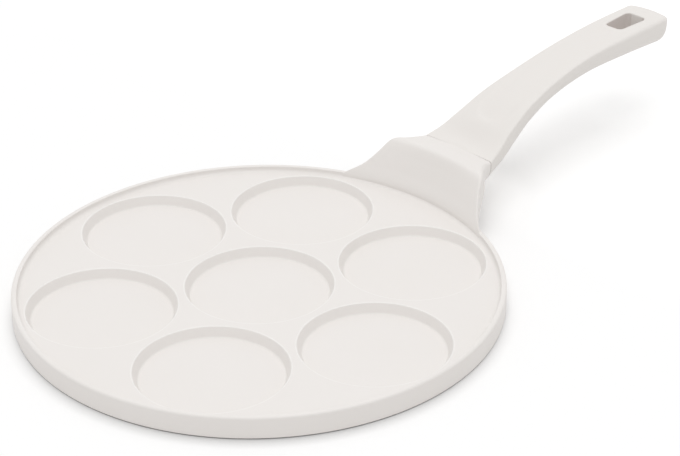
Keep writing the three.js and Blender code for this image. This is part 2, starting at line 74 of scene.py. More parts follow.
DISC_RINGS = 4
DISC_HOLES_ADDED = 6
PEG_RADIUS = DISC_HOLE_RADIUS - POCKET_CLEARANCE
PEG_EDGE_ROUND = 0.0002
ROUND_STEPS = 7
PLATE_STEPS = 288
MOULD_STEPS = 128
HOLE_STEPS = 24
SAME_PLACE = 1e-6


def turned(corners, steps):
    """An outline of (radius, height, round) corners, spun about +Z."""
    bm = bmesh.new()
    verts = [bm.verts.new((radius, 0, height)) for radius, height, _ in corners]
    for pair in zip(verts, verts[1:]):
        bm.edges.new(pair)
    setbacks = []
    for i, (_, _, rounding) in enumerate(corners):
        if rounding:
            half_angle = (verts[i - 1].co - verts[i].co).angle(verts[i + 1].co - verts[i].co) / 2
            setbacks.append((verts[i], rounding / math.tan(half_angle)))
    for vert, setback in setbacks:
        bmesh.ops.bevel(bm, geom=[vert], offset=setback, offset_type="OFFSET", affect="VERTICES",
                        segments=ROUND_STEPS, profile=0.5, material=-1)
    bmesh.ops.spin(bm, geom=bm.verts[:] + bm.edges[:], cent=(0, 0, 0), axis=(0, 0, 1),
                   angle=2 * math.pi, steps=steps, use_merge=True)
    bmesh.ops.remove_doubles(bm, verts=bm.verts[:], dist=SAME_PLACE)
    return bm


def put(bm, form, places):
    """Adds a copy of a form at each place in plan, and frees the form."""
    copy = bpy.data.meshes.new("form")
    form.to_mesh(copy)
    form.free()
    for place in places:
        first = len(bm.verts)
        bm.from_mesh(copy)
        bmesh.ops.translate(bm, verts=bm.verts[first:], vec=(*place, 0))
    bpy.data.meshes.remove(copy)


def fill_flat(bm, height):
    """Fills the flat face between all the open edges at one height."""
    open_edges = [edge for edge in bm.edges if edge.is_boundary]
    rims = [edge for edge in open_edges if all(abs(v.co.z - height) < SAME_PLACE for v in edge.verts)]
    bmesh.ops.triangle_fill(bm, use_beauty=True, edges=rims, normal=(0, 0, 1))


def round_circle(radius, count, offset=0):
    """Places that divide a circle evenly, the first a share of a step away from +X."""
    angles = [2 * math.pi * (i + offset) / count for i in range(count)]
    return [Vector((radius * math.cos(angle), radius * math.sin(angle))) for angle in angles]


def new_object(name, bm):
    """Turns a finished bmesh into an object with its faces pointing out."""
    bmesh.ops.recalc_face_normals(bm, faces=bm.faces[:])
    is_closed = all(edge.is_manifold for edge in bm.edges)
    if is_closed and bm.calc_volume(signed=True) < 0:
        bmesh.ops.reverse_faces(bm, faces=bm.faces[:])
    mesh = bpy.data.meshes.new(name)
    bm.to_mesh(mesh)
    bm.free()
    piece = bpy.data.objects.new(name, mesh)
    bpy.context.scene.collection.objects.link(piece)
    return piece


mould_places = [Vector((0, 0)), *round_circle(MOULD_PITCH_RADIUS, OUTER_MOULDS, offset=0.5)]
disc_hole_places = [
    place
    for ring in range(1, DISC_RINGS + 1)
    for place in round_circle(ring * DISC_RING_PITCH, ring * DISC_HOLES_ADDED)
]
pocket_radius = DISC_RADIUS + POCKET_CLEARANCE

plate = turned([
    (LIP_INNER_RADIUS - LIP_FOOT_FILLET - FLAT_MARGIN, WEB_Z, 0),
    (LIP_INNER_RADIUS, WEB_Z, LIP_FOOT_FILLET),
    (LIP_INNER_RADIUS, LIP_Z, LIP_INNER_ROUND),
    (PLATE_RADIUS, LIP_Z, LIP_OUTER_ROUND),
    (PLATE_RADIUS, BASE_RING_Z, BASE_EDGE_ROUND),
    (pocket_radius, BASE_RING_Z, 0),
    (pocket_radius, DISC_TOP_Z, 0),
], PLATE_STEPS)
mould = turned([
    (MOULD_RADIUS + MOULD_EDGE_BAND, WEB_Z, 0),
    (MOULD_RADIUS, WEB_Z, MOULD_EDGE_ROUND),
    (MOULD_RADIUS - MOULD_WALL_LEAN, MOULD_FLOOR_Z, MOULD_FLOOR_FILLET),
    (0, MOULD_FLOOR_Z, 0),
], MOULD_STEPS)
put(plate, mould, mould_places)
peg = turned([
    (PEG_RADIUS, DISC_TOP_Z, 0),
    (PEG_RADIUS, PEG_END_Z, PEG_EDGE_ROUND),
    (0, PEG_END_Z, 0),
], HOLE_STEPS)
put(plate, peg, disc_hole_places)
fill_flat(plate, WEB_Z)
fill_flat(plate, DISC_TOP_Z)
casting = new_object("pan_casting", plate)


# Neck and tang of the casting
# The neck is cast in one with the plate. It rises from the lip as a flat, leaning front face, turns over a
# crisp ridge to a short level top, and ends square at the seam, where a flat tang goes on into the handle.
SEAM_GAP = 0.0003
SEAM_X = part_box("handle")[0].x - SEAM_GAP
SEAM_REACH = SEAM_X - PLATE_RADIUS
SEAM_RISE = 0.0201
SEAM_Z = LIP_Z + SEAM_RISE
SEAM_HALF_WIDTH = 0.025
SEAM_DEPTH = 0.018
SEAM_EDGE_ROUND = 0.0014
SEAM_BREAK = 0.00006
NECK_FLARE = 0.028
NECK_TOP_BAND = 0.016
NECK_RIDGE_LIFT = 0.002
NECK_EDGE_ROUND = 0.0022
NECK_FOOT_OVERLAP = 0.0003
NECK_FOOT = Vector((-LIP_WIDTH - NECK_FOOT_OVERLAP, 0))
NECK_RIDGE = Vector((SEAM_REACH - NECK_TOP_BAND, SEAM_RISE + NECK_RIDGE_LIFT))
NECK_ROOT_SINK = 0.001
NECK_ROOT_RISE = WEB_Z - LIP_Z - NECK_ROOT_SINK
NECK_BELLY_FOOT = Vector((-0.0015, 0.0015))
TOP_CROWN = 0.0008
BELLY_FULLNESS = 2.7
TANG_LENGTH = 0.034
TANG_ROOT = 0.0064
TANG_WIDTH = 0.022
TANG_THICKNESS = 0.0064
TANG_CORNER = 0.0015
TANG_BELOW_TOP = 0.008
TANG_TILT = math.radians(22)
SCREW_FROM_SEAM = 0.017
SCREW_RADIUS = 0.0025
SCREW_CLEARANCE = 0.0003
SCREW_STEPS = 48
TOP_STEPS = 16
EDGE_STEPS = 7
BELLY_STEPS = 20
NECK_STEPS = 80


def along(stations, column, place):
    """One column of a table of stations at a place along it, on a smooth curve through the stations."""
    last = len(stations) - 2
    i = next((k for k in range(last + 1) if stations[k + 1]["at"] > place), last)

    def slope(k):
        before, after = stations[max(k - 1, 0)], stations[min(k + 1, last + 1)]
        return (after[column] - before[column]) / (after["at"] - before["at"])

    start, stop = stations[i], stations[i + 1]
    span = stop["at"] - start["at"]
    t = (place - start["at"]) / span
    return ((2 * t**3 - 3 * t**2 + 1) * start[column] + (t**3 - 2 * t**2 + t) * span * slope(i)
            + (3 * t**2 - 2 * t**3) * stop[column] + (t**3 - t**2) * span * slope(i + 1))


def section(top, bottom, half_width, edge, fullness, bow=0, inset=0, hollow=lambda y: 0):
    """A ring with a faintly crowned top, rounded edges and a full belly. top and bottom are (x, z). bow is
    the share of the rim's own curve that it follows in plan, inset makes it smaller all round, and hollow is
    how far its top is let down at each y."""
    down = (bottom - top).normalized()
    top = top + down * inset
    depth = (bottom - top).length - inset
    half_width = half_width - inset
    flat = half_width - edge
    side = []
    for i in range(TOP_STEPS):
        y = flat * i / TOP_STEPS
        side.append((y, TOP_CROWN * (y / flat) ** 2 + hollow(y)))
    for i in range(EDGE_STEPS + 1):
        angle = math.pi / 2 * i / EDGE_STEPS
        side.append((flat + edge * math.sin(angle), TOP_CROWN + edge * (1 - math.cos(angle))))
    shoulder = TOP_CROWN + edge
    for i in range(1, BELLY_STEPS + 1):
        angle = math.pi / 2 * i / BELLY_STEPS
        y = half_width * math.cos(angle) ** (2 / fullness) if i < BELLY_STEPS else 0
        side.append((y, shoulder + (depth - shoulder) * math.sin(angle) ** (2 / fullness)))
    ring = side + [(-y, d) for y, d in reversed(side[1:-1])]
    sag = [bow * (LIP_INNER_RADIUS - math.sqrt(LIP_INNER_RADIUS**2 - y**2)) for y, _ in ring]
    return [Vector((top.x + down.x * d - s, y, top.y + down.y * d)) for (y, d), s in zip(ring, sag)]


def lofted(rings):
    """A closed skin over a row of rings, which joins their points one to one."""
    bm = bmesh.new()
    rows = [[bm.verts.new(point) for point in ring] for ring in rings]
    for here, there in zip(rows, rows[1:]):
        for i in range(len(here)):
            bm.faces.new((here[i - 1], here[i], there[i], there[i - 1]))
    for end in (rows[0], rows[-1]):
        bm.faces.new(end)
    return bm


def combine(piece, bm, operation):
    """Joins a form to a piece, or cuts it out. The form is triangulated, because a bent face can fold."""
    bmesh.ops.triangulate(bm, faces=bm.faces[:])
    other = new_object("form", bm)
    modifier = piece.modifiers.new("combine", "BOOLEAN")
    modifier.operation = operation
    modifier.solver = "MANIFOLD"
    modifier.object = other
    evaluated = piece.evaluated_get(bpy.context.evaluated_depsgraph_get())
    result = bmesh.new()
    result.from_mesh(evaluated.data)
    bmesh.ops.remove_doubles(result, verts=result.verts[:], dist=SAME_PLACE)
    bmesh.ops.dissolve_degenerate(result, edges=result.edges[:], dist=SAME_PLACE)
    piece.modifiers.clear()
    result.to_mesh(piece.data)
    result.free()
    bpy.data.objects.remove(other)


def on_front(share):
    """A place on the front face, from the lip to the ridge."""
    place = NECK_FOOT.lerp(NECK_RIDGE, share)
    return {"reach": place.x, "rise": place.y}


def on_top(share, drop):
    """A place on the level top, from the ridge to the seam."""
    return {"reach": NECK_RIDGE.x + NECK_TOP_BAND * share, "rise": NECK_RIDGE.y - NECK_RIDGE_LIFT * drop}


def on_belly(out, up):
    """A place below, as shares of the way out and up from the foot of the plate's wall to the seam."""
    seam = Vector((SEAM_REACH, SEAM_Z - SEAM_DEPTH - BASE_RING_Z))
    return {
        "under_reach": NECK_BELLY_FOOT.x + (seam.x - NECK_BELLY_FOOT.x) * out,
        "under": NECK_BELLY_FOOT.y + (seam.y - NECK_BELLY_FOOT.y) * up,
    }


neck_stations = [
    {**on_front(0), "rise": NECK_ROOT_RISE, **on_belly(0, 0), "flare": 1, "bow": 1, "full": 7},
    {**on_front(0), **on_belly(0, 0), "flare": 1, "bow": 1, "full": 7},
    {**on_front(0.34), **on_belly(0.15, 0.06), "flare": 0.68, "bow": 1, "full": 6},
    {**on_front(0.66), **on_belly(0.35, 0.2), "flare": 0.49, "bow": 0.9, "full": 4.5},
    {**on_front(0.93), **on_belly(0.56, 0.44), "flare": 0.37, "bow": 0.64, "full": 3.4},
    {**on_top(0.06, 0.15), **on_belly(0.67, 0.6), "flare": 0.31, "bow": 0.46, "full": 3.1},
    {**on_top(0.27, 0.2), **on_belly(0.77, 0.73), "flare": 0.17, "bow": 0.22, "full": 2.9},
    {**on_top(0.62, 0.4), **on_belly(0.9, 0.88), "flare": 0.05, "bow": 0.06, "full": 2.8},
    {**on_top(1, 1), **on_belly(1, 1), "flare": 0, "bow": 0, "full": BELLY_FULLNESS},
]
neck_length = 0
for i, station in enumerate(neck_stations):
    before = neck_stations[max(i - 1, 0)]
    neck_length += math.hypot(station["reach"] - before["reach"], station["rise"] - before["rise"])
    station["at"] = neck_length
    is_middle = 1 < i < len(neck_stations) - 1
    station["edge"] = NECK_EDGE_ROUND if is_middle else SEAM_EDGE_ROUND


def neck_ring(place, inset=0):
    """The neck's section at a place along it."""
    value = {column: along(neck_stations, column, place) for column in neck_stations[0]}
    return section(
        top=Vector((PLATE_RADIUS + value["reach"], LIP_Z + value["rise"])),
        bottom=Vector((PLATE_RADIUS + value["under_reach"], BASE_RING_Z + value["under"])),
        half_width=SEAM_HALF_WIDTH + NECK_FLARE * value["flare"],
        edge=value["edge"], fullness=value["full"], bow=value["bow"], inset=inset)


def tang_bar(start, stop, width, thickness):
    """A bar with rounded corners along the tang's axis."""
    bm = bmesh.new()
    bmesh.ops.create_cube(bm, size=1)
    bmesh.ops.scale(bm, verts=bm.verts[:], vec=(stop - start, width, thickness))
    long_edges = [e for e in bm.edges if abs((e.verts[0].co - e.verts[1].co).x) > SAME_PLACE]
    bmesh.ops.bevel(bm, geom=long_edges, offset=TANG_CORNER, offset_type="OFFSET", affect="EDGES",
                    segments=ROUND_STEPS, profile=0.5, material=-1)
    bmesh.ops.translate(bm, verts=bm.verts[:], vec=((start + stop) / 2, 0, 0))
    bmesh.ops.transform(bm, verts=bm.verts[:], matrix=tang_axis)
    return bm


def on_screw_axis(bm):
    """Moves a form from +Z to the screw's axis, which crosses the tang's axis at height 0."""
    bmesh.ops.transform(bm, verts=bm.verts[:], matrix=screw_axis)
    return bm


def screw_cylinder(radius, low, high):
    """A cylinder on the screw's axis."""
    outline = [(0, low, 0), (radius, low, 0), (radius, high, 0), (0, high, 0)]
    return on_screw_axis(turned(outline, SCREW_STEPS))


tang_axis = Matrix.Translation((SEAM_X, 0, SEAM_Z - TANG_BELOW_TOP)) @ Matrix.Rotation(-TANG_TILT, 4, "Y")
screw_axis = tang_axis @ Matrix.Translation((SCREW_FROM_SEAM, 0, 0))
screw_hole_radius = SCREW_RADIUS + SCREW_CLEARANCE
neck_rings = [neck_ring((neck_length - SEAM_BREAK) * i / NECK_STEPS) for i in range(NECK_STEPS + 1)]
for i in range(1, ROUND_STEPS + 1):
    angle = math.pi / 2 * i / ROUND_STEPS
    place = neck_length - SEAM_BREAK * (1 - math.sin(angle))
    neck_rings.append(neck_ring(place, SEAM_BREAK * (1 - math.cos(angle))))
combine(casting, lofted(neck_rings), "UNION")
combine(casting, tang_bar(-TANG_ROOT, TANG_LENGTH, TANG_WIDTH, TANG_THICKNESS), "UNION")
combine(casting, screw_cylinder(screw_hole_radius, -TANG_THICKNESS, TANG_THICKNESS), "DIFFERENCE")


# Coating of the casting
# A sprayed, stoved sol-gel coating, off-white and satin. To the eye it is an even pale cream with a soft
# sheen, a faint orange peel and very slight clouding where it dried thicker. The moulds' edges get a paler
# colour, a painted highlight, and the ends of the pegs are faced off to bare aluminium.
COATING_PALE = "#ece8e5"
COATING_DEEP = "#eae6e2"
# A paler colour, the painted highlight on the moulds' edges.
PAINTED_EDGE_HIGHLIGHT = "#f0edea"
ALUMINIUM = "#c9cacb"
ALUMINIUM_ROUGHNESS = 0.38
COATING_IOR = 1.5
COATING_ROUGHNESS = (0.42, 0.5)
CLOUD_SIZE = 0.045
PEEL_SIZE = 0.0014
PEEL_HEIGHT = 4e-6
SHARP_ANGLE = math.radians(32)


def linear(code):
    """An sRGB hex colour as linear red, green, blue and alpha."""
    shares = [int(code[i:i + 2], 16) / 255 for i in (1, 3, 5)]
    return [s / 12.92 if s <= 0.04045 else ((s + 0.055) / 1.055) ** 2.4 for s in shares] + [1]


def add_node(tree, kind, inputs=None, **settings):
    """Adds a node with its settings. An input is a value, or an output socket to link to."""
    made = tree.nodes.new(kind)
    for name, value in settings.items():
        setattr(made, name, value)
    for key, value in (inputs or {}).items():
        if isinstance(value, bpy.types.NodeSocket):
            tree.links.new(value, made.inputs[key])
        else:
            made.inputs[key].default_value = value
    return made


def new_material(name):
    """An empty material, and its node tree."""
    material = bpy.data.materials.new(name)
    material.use_nodes = True
    material.node_tree.nodes.clear()
    return material, material.node_tree


def sprayed_coating(name, pale, deep=None):
    """A satin coating with a fine orange peel, which clouds from pale to deep if both are given."""
    material, tree = new_material(name)
    place = add_node(tree, "ShaderNodeTexCoord").outputs["Object"]
    cloud = add_node(tree, "ShaderNodeTexNoise", {"Vector": place, "Scale": 1 / CLOUD_SIZE, "Detail": 3})
    peel = add_node(tree, "ShaderNodeTexNoise", {"Vector": place, "Scale": 1 / PEEL_SIZE, "Detail": 1})
    colour = linear(pale)
    if deep:
        colour = add_node(tree, "ShaderNodeMix", {
            "Factor": cloud.outputs["Fac"], "A": linear(pale), "B": linear(deep)},
            data_type="RGBA").outputs["Result"]
    sheen = add_node(tree, "ShaderNodeMapRange", {
        "Value": cloud.outputs["Fac"], "To Min": COATING_ROUGHNESS[0], "To Max": COATING_ROUGHNESS[1]})
    bump = add_node(tree, "ShaderNodeBump", {"Height": peel.outputs["Fac"], "Distance": PEEL_HEIGHT})
    shader = add_node(tree, "ShaderNodeBsdfPrincipled", {
        "Base Color": colour, "Roughness": sheen.outputs["Result"], "IOR": COATING_IOR,
        "Normal": bump.outputs["Normal"]})
    add_node(tree, "ShaderNodeOutputMaterial", {"Surface": shader.outputs["BSDF"]})
    return material


def finish_piece(piece, materials, node):
    """Gives a piece its materials and smooth shading, and puts it in the place of its CAD node."""
    piece.data.materials.clear()
    for material in materials:
        piece.data.materials.append(material)
    piece.data.shade_smooth()
    piece.data.set_sharp_from_angle(angle=SHARP_ANGLE)
    flats = piece.modifiers.new("flats_stay_flat", "WEIGHTED_NORMAL")
    flats.keep_sharp = True
    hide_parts(node)
    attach(piece, "root")


def plain_metal(name, colour, roughness):
    """An even metal face with a soft shine."""
    material, tree = new_material(name)
    shader = add_node(tree, "ShaderNodeBsdfPrincipled", {
        "Base Color": linear(colour), "Metallic": 1, "Roughness": roughness})
    add_node(tree, "ShaderNodeOutputMaterial", {"Surface": shader.outputs["BSDF"]})
    return material


def is_on_mould_edge(spot):
    """Whether a spot lies on the rounded edge of a mould or on the narrow band round it."""
    reaches = [(spot.xy - place).length - MOULD_RADIUS for place in mould_places]
    return spot.z > WEB_Z - MOULD_EDGE_ROUND / 2 and any(abs(reach) < MOULD_EDGE_BAND for reach in reaches)


finish_piece(casting, [
    sprayed_coating("sprayed_coating", COATING_PALE, COATING_DEEP),
    sprayed_coating("edge_painted_highlight", PAINTED_EDGE_HIGHLIGHT),
    plain_metal("faced_aluminium", ALUMINIUM, ALUMINIUM_ROUGHNESS),
], "pan_body")
edge_painted_highlight = casting.data.materials.find("edge_painted_highlight")
faced_aluminium = casting.data.materials.find("faced_aluminium")
# Faces on the moulds' edges take the painted highlight, a paler colour, and the pegs' ends take bare
# aluminium.
for face in casting.data.polygons:
    if is_on_mould_edge(face.center):
        face.material_index = edge_painted_highlight
    elif face.center.z < PEG_END_Z + PEG_EDGE_ROUND / 2:
        face.material_index = faced_aluminium


# Base disc
# A stamped disc of magnetic stainless steel, pressed into the pocket so that an induction hob can heat the
# pan. The pegs of the casting fill its holes, and its face is turned, with fine round tool lines.
DISC_BOTTOM_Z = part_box("induction_disc")[0].z
DISC_EDGE_ROUND = 0.0002
STEEL = "#b9bab8"
STEEL_ROUGHNESS = (0.24, 0.4)
# Tool lines are about 0.2 mm apart, and are drawn at 1 mm to show.
TOOL_LINE_PITCH = 0.001
TOOL_LINE_HEIGHT = 6e-6


def turned_steel():
    """Steel with fine round tool lines, duller and brighter by turns."""
    material, tree = new_material("turned_stainless_steel")
    place = add_node(tree, "ShaderNodeTexCoord").outputs["Object"]
    flat_place = add_node(tree, "ShaderNodeVectorMath", {0: place, 1: (1, 1, 0)}, operation="MULTIPLY")
    radius = add_node(tree, "ShaderNodeVectorMath", {0: flat_place.outputs["Vector"]}, operation="LENGTH")
    lines = add_node(tree, "ShaderNodeTexNoise", {
        "W": radius.outputs["Value"], "Scale": 1 / TOOL_LINE_PITCH, "Detail": 2}, noise_dimensions="1D")
    sheen = add_node(tree, "ShaderNodeMapRange", {
        "Value": lines.outputs["Fac"], "To Min": STEEL_ROUGHNESS[0], "To Max": STEEL_ROUGHNESS[1]})
    bump = add_node(tree, "ShaderNodeBump", {"Height": lines.outputs["Fac"], "Distance": TOOL_LINE_HEIGHT})
    shader = add_node(tree, "ShaderNodeBsdfPrincipled", {
        "Base Color": linear(STEEL), "Metallic": 1, "Roughness": sheen.outputs["Result"],
        "Normal": bump.outputs["Normal"]})
    add_node(tree, "ShaderNodeOutputMaterial", {"Surface": shader.outputs["BSDF"]})
    return material


disc = turned([
    (DISC_RADIUS - DISC_EDGE_ROUND - FLAT_MARGIN, DISC_TOP_Z, 0),
    (DISC_RADIUS, DISC_TOP_Z, DISC_EDGE_ROUND),
    (DISC_RADIUS, DISC_BOTTOM_Z, DISC_EDGE_ROUND),
    (DISC_RADIUS - DISC_EDGE_ROUND - FLAT_MARGIN, DISC_BOTTOM_Z, 0),
], PLATE_STEPS)
disc_hole = turned([
    (DISC_HOLE_RADIUS + DISC_EDGE_ROUND + FLAT_MARGIN, DISC_TOP_Z, 0),
    (DISC_HOLE_RADIUS, DISC_TOP_Z, DISC_EDGE_ROUND),
    (DISC_HOLE_RADIUS, DISC_BOTTOM_Z, DISC_EDGE_ROUND),
    (DISC_HOLE_RADIUS + DISC_EDGE_ROUND + FLAT_MARGIN, DISC_BOTTOM_Z, 0),
], HOLE_STEPS)
put(disc, disc_hole, disc_hole_places)
fill_flat(disc, DISC_TOP_Z)
fill_flat(disc, DISC_BOTTOM_Z)
finish_piece(new_object("base_disc", disc), [turned_steel()], "induction_disc")


# Handle
# One phenolic moulding with a soft lacquer. It slides over the tang until its end, which is bowed a little,
# meets the neck, so the seam is tight in the middle and opens to the sides. It has a shallow thumb dish on
# top, a hanging hole near its tip and a counterbore for the screw below.
SEAM_GAP_SEEN = 0.00002
SEAM_OPENING = 0.16
HANDLE_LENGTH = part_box("handle")[1].x - SEAM_X
HANDLE_RISE = 0.0298
SHOULDER_DEPTH = 0.0185
GRIP_HALF_WIDTH = 0.01405
GRIP_DEPTH = 0.0147
GRIP_EDGE_ROUND = 0.0011
PALM_DEPTH = 0.0153
TIP_HALF_WIDTH = 0.01495
TIP_DEPTH = 0.0195
TIP_EDGE_ROUND = 0.002
TIP_PLAN_ROUND = 0.006
TIP_BELLY_ROUND = 0.0095
TIP_TOP_ROUND = 0.002
LEAN_RUN = 0.02
SLOPE_STEP = LEAN_RUN / 20
HANDLE_STEPS = 170
TIP_STEPS = 10
DISH_FROM_SEAM = 0.021
DISH_LENGTH = 0.064
DISH_HALF_WIDTH = 0.0125
DISH_DEPTH = 0.0009
DISH_WALL = 0.0045
SADDLE_DIP = 0.0019
# Brings the greatest value of t * (1 - t) ** 2 to 1.
SADDLE_SCALE = 27 / 4
HOLE_LENGTH = 0.0238
HOLE_TIP_WIDTH = 0.014
HOLE_GRIP_WIDTH = 0.0118
HOLE_CORNER = 0.003
HOLE_TO_TIP = 0.0147
HOLE_MIDDLE = HANDLE_LENGTH - HOLE_TO_TIP - HOLE_LENGTH / 2
HOLE_EDGE_ROUND = 0.0008
HOLE_EDGE_TURN = math.radians(78)
HOLE_WALL_TILT = math.radians(30)
SOCKET_CLEARANCE = 0.0003
SCREW_WALL = 0.0026
SCREW_SEAT = -(TANG_THICKNESS / 2 + SOCKET_CLEARANCE + SCREW_WALL)
COUNTERBORE_RADIUS = 0.0055

tip_taper = (SEAM_HALF_WIDTH - TIP_HALF_WIDTH) / (SEAM_HALF_WIDTH - GRIP_HALF_WIDTH)
handle_stations = [
    {"share": 0, "climb": 0, "taper": 0, "depth": SEAM_DEPTH, "edge": SEAM_EDGE_ROUND},
    {"share": 0.06, "climb": 0.114, "taper": 0.23, "depth": (SEAM_DEPTH + SHOULDER_DEPTH) / 2,
     "edge": SEAM_EDGE_ROUND},
    {"share": 0.128, "climb": 0.308, "taper": 0.47, "depth": SHOULDER_DEPTH, "edge": GRIP_EDGE_ROUND},
    {"share": 0.23, "climb": 0.557, "taper": 0.685, "depth": (SHOULDER_DEPTH + GRIP_DEPTH) / 2,
     "edge": GRIP_EDGE_ROUND},
    {"share": 0.378, "climb": 0.775, "taper": 0.907, "depth": GRIP_DEPTH, "edge": GRIP_EDGE_ROUND},
    {"share": 0.571, "climb": 0.94, "taper": 1, "depth": PALM_DEPTH, "edge": GRIP_EDGE_ROUND},
    {"share": 0.77, "climb": 1, "taper": tip_taper, "depth": (GRIP_DEPTH + TIP_DEPTH) / 2,
     "edge": TIP_EDGE_ROUND},
    {"share": 1, "climb": 1, "taper": tip_taper, "depth": TIP_DEPTH, "edge": TIP_EDGE_ROUND},
]
for station in handle_stations:
    station["at"] = station["share"] * HANDLE_LENGTH


def eased(share):
    """A smooth step from 0 to 1."""
    share = min(max(share, 0), 1)
    return share * share * (3 - 2 * share)


def on_handle(place):
    """The handle's shape at a place: its top's height, half its width, its depth and its edge round."""
    value = {column: along(handle_stations, column, place) for column in handle_stations[0]}
    half = SEAM_HALF_WIDTH + (GRIP_HALF_WIDTH - SEAM_HALF_WIDTH) * value["taper"]
    return SEAM_Z + HANDLE_RISE * value["climb"], half, value["depth"], value["edge"]


def let_down(place, y, flat):
    """How far the top is let down by the saddle behind the seam, and by the thumb dish, which has a firm
    front edge and runs out to the back."""
    behind_front = place - DISH_FROM_SEAM
    from_edge = DISH_HALF_WIDTH - math.hypot(min(behind_front - DISH_HALF_WIDTH, 0), y)
    dish = DISH_DEPTH * eased(from_edge / DISH_WALL) * eased(1 - behind_front / DISH_LENGTH)
    to_front = min(place / DISH_FROM_SEAM, 1)
    saddle = SADDLE_DIP * SADDLE_SCALE * to_front * (1 - to_front) ** 2 * (1 - (y / flat) ** 2)
    return dish + saddle


def handle_ring(place, tip=0, inset=0):
    """The handle's section at a place along it. tip runs from 0, where the tip's rounding starts, to a
    quarter turn at its end."""
    top_z, half, depth, edge = on_handle(place)
    slope = (on_handle(place + SLOPE_STEP)[0] - on_handle(place - SLOPE_STEP)[0]) / (2 * SLOPE_STEP)
    lean = math.atan(slope) * eased(place / LEAN_RUN)
    shrink = 1 - math.cos(tip)
    depth -= TIP_BELLY_ROUND * shrink
    top = Vector((SEAM_X + place, top_z - TIP_TOP_ROUND * shrink))
    return section(
        top=top, bottom=top + depth * Vector((math.sin(lean), -math.cos(lean))),
        half_width=half - TIP_PLAN_ROUND * shrink, edge=edge, fullness=BELLY_FULLNESS,
        bow=-SEAM_OPENING * (1 - eased(place / LEAN_RUN)), inset=inset,
        hollow=lambda y: let_down(place, y, half - edge))


def hole_ring(grow, below_top=None, above_belly=None):
    """A ring of the hanging hole, grown all round, which follows the handle's top or its belly."""
    ring = []
    tip_corner = Vector((HOLE_LENGTH / 2 - HOLE_CORNER, HOLE_TIP_WIDTH / 2 - HOLE_CORNER))
    grip_corner = Vector((-HOLE_LENGTH / 2 + HOLE_CORNER, HOLE_GRIP_WIDTH / 2 - HOLE_CORNER))
    for i in range(4 * (EDGE_STEPS + 1)):
        quarter, step = divmod(i, EDGE_STEPS + 1)
        angle = math.pi / 2 * (quarter + step / EDGE_STEPS)
        corner = tip_corner if quarter in (0, 3) else grip_corner
        x = corner.x + (HOLE_CORNER + grow) * math.cos(angle)
        y = corner.y * (1 if quarter in (0, 1) else -1) + (HOLE_CORNER + grow) * math.sin(angle)
        place = HOLE_MIDDLE + x
        top_z, half, depth, edge = on_handle(place)
        if above_belly is None:
            z = top_z - TOP_CROWN * (y / (half - edge)) ** 2 - below_top
        else:
            shoulder = TOP_CROWN + edge
            belly = (depth - shoulder) * (1 - abs(y / half) ** BELLY_FULLNESS) ** (1 / BELLY_FULLNESS)
            z = top_z - shoulder - belly + above_belly
        ring.append(Vector((SEAM_X + place, y, z)))
    return ring


tip_start = HANDLE_LENGTH - TIP_PLAN_ROUND
handle_start = SEAM_GAP_SEEN + SEAM_BREAK
handle_rings = []
for i in range(ROUND_STEPS):
    angle = math.pi / 2 * (1 - i / ROUND_STEPS)
    handle_rings.append(handle_ring(handle_start - SEAM_BREAK * math.sin(angle), 0,
                                    SEAM_BREAK * (1 - math.cos(angle))))
for i in range(HANDLE_STEPS + 1):
    handle_rings.append(handle_ring(handle_start + (tip_start - handle_start) * i / HANDLE_STEPS))
for i in range(1, TIP_STEPS + 1):
    tip = math.pi / 2 * i / TIP_STEPS
    handle_rings.append(handle_ring(tip_start + TIP_PLAN_ROUND * math.sin(tip), tip))
handle = new_object("handle_moulding", lofted(handle_rings))

# The hanging hole's mouths flare to nearly level with the faces that they open into.
mouth = []
for i in range(EDGE_STEPS + 1):
    angle = HOLE_EDGE_TURN * i / EDGE_STEPS
    mouth.append((HOLE_EDGE_ROUND * (1 - math.cos(angle)),
                  HOLE_EDGE_ROUND * (math.sin(HOLE_EDGE_TURN) - math.sin(angle))))
mouth.append((mouth[-1][0] + HOLE_EDGE_ROUND, -HOLE_EDGE_ROUND / math.tan(HOLE_EDGE_TURN)))
mouth.append((mouth[-1][0], -TIP_DEPTH))
hole_rings = [hole_ring(grow, below_top=depth) for grow, depth in reversed(mouth)]
hole_rings += [hole_ring(grow, above_belly=depth) for grow, depth in mouth]
combine(handle, lofted(hole_rings), "DIFFERENCE")
combine(handle, tang_bar(-TANG_ROOT, TANG_LENGTH + SOCKET_CLEARANCE, TANG_WIDTH + 2 * SOCKET_CLEARANCE,
                         TANG_THICKNESS + 2 * SOCKET_CLEARANCE), "DIFFERENCE")
combine(handle, screw_cylinder(screw_hole_radius, -SEAM_DEPTH, 0), "DIFFERENCE")
combine(handle, screw_cylinder(COUNTERBORE_RADIUS, -SEAM_DEPTH, SCREW_SEAT), "DIFFERENCE")

# The lacquer is a little rougher than the plate's coating, with a fine even grain. The hanging hole's walls
# get a darker colour, which is painted shade inside the hole.
LACQUER = "#e9e5e1"
HOLE_PAINTED_SHADE = "#dad3cf"
LACQUER_ROUGHNESS = 0.56
GRAIN_SIZE = 0.0005
GRAIN_HEIGHT = 3e-6


def moulded_face(name, colour):
    """A dull moulded or lacquered face with a fine even grain."""
    material, tree = new_material(name)
    place = add_node(tree, "ShaderNodeTexCoord").outputs["Object"]
    grain = add_node(tree, "ShaderNodeTexNoise", {"Vector": place, "Scale": 1 / GRAIN_SIZE, "Detail": 1})
    bump = add_node(tree, "ShaderNodeBump", {"Height": grain.outputs["Fac"], "Distance": GRAIN_HEIGHT})
    shader = add_node(tree, "ShaderNodeBsdfPrincipled", {
        "Base Color": linear(colour), "Roughness": LACQUER_ROUGHNESS, "Normal": bump.outputs["Normal"]})
    add_node(tree, "ShaderNodeOutputMaterial", {"Surface": shader.outputs["BSDF"]})
    return material


